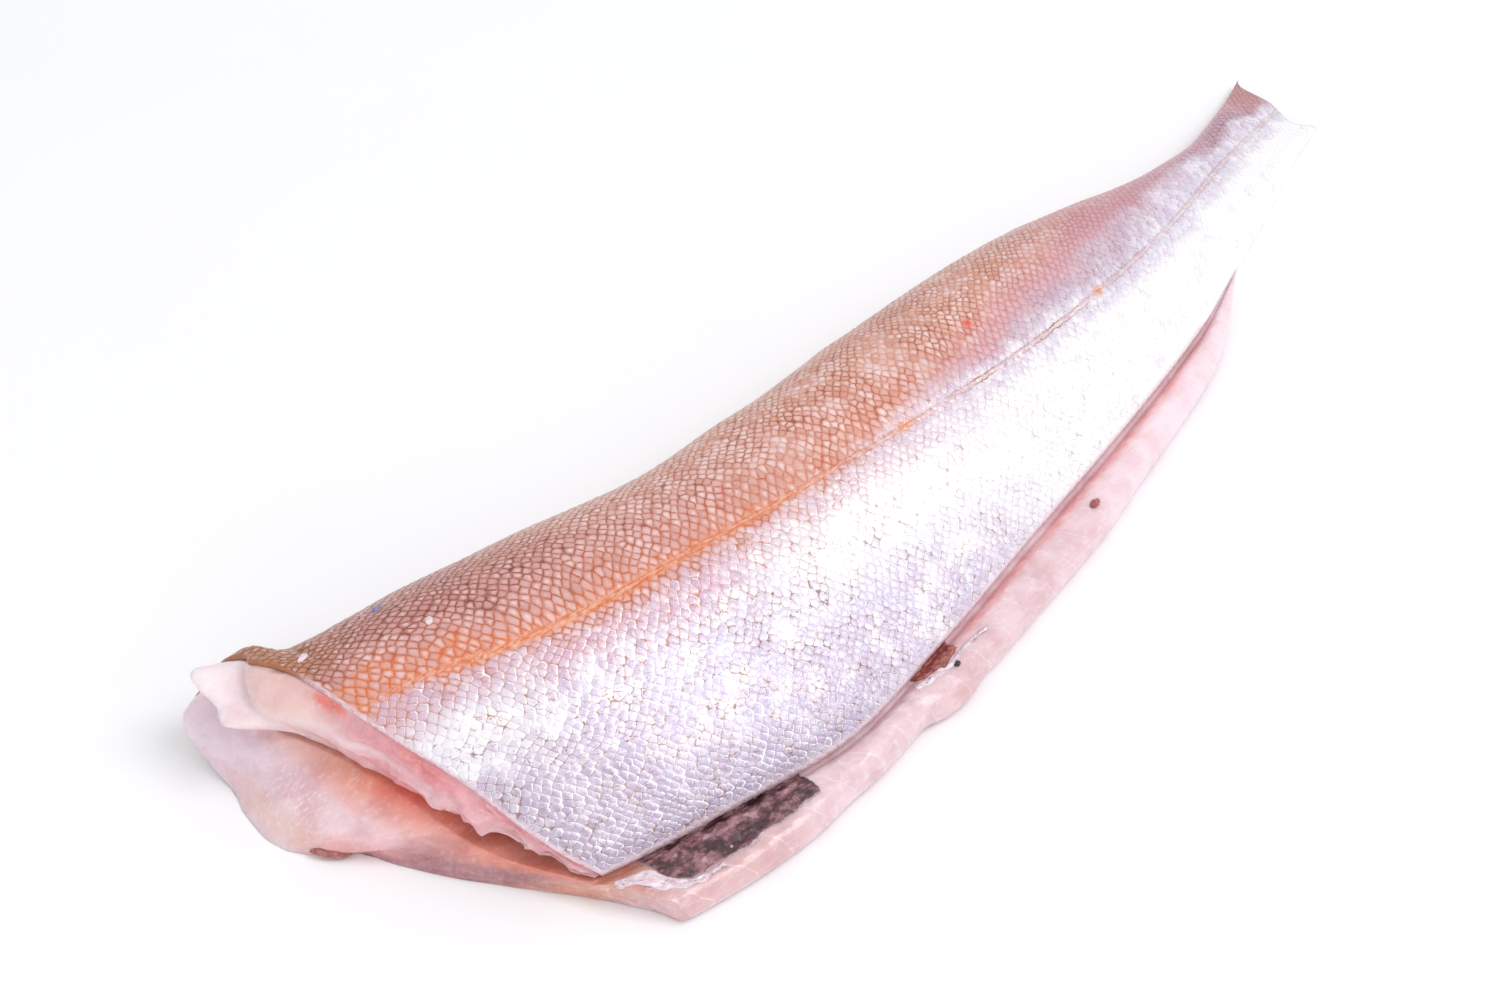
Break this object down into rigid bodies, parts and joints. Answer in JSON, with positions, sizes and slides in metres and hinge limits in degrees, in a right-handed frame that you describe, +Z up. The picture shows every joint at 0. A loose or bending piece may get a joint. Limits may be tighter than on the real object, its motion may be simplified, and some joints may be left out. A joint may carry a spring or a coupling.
{
  "type": "whiting fillet",
  "caption": "Raw boned whiting with its skin on, folded shut: two fillets joined along the back and at the tail, open along the belly and at the cut head end.",
  "frame": {"origin": "middle of the underside, under the middle of the whole outline, on the surface it lies on", "axes": "+X along the fish towards the tail, +Y towards the back, -Y towards the open belly, +Z up through the upper fillet"},
  "size_m": [0.2712, 0.0938, 0.0281],
  "materials": {
    "fish": "wet scaly skin and cut raw flesh, satin to glossy"
  },
  "bodies": {
    "root": {"fillet": "fish"}
  },
  "joints": []
}
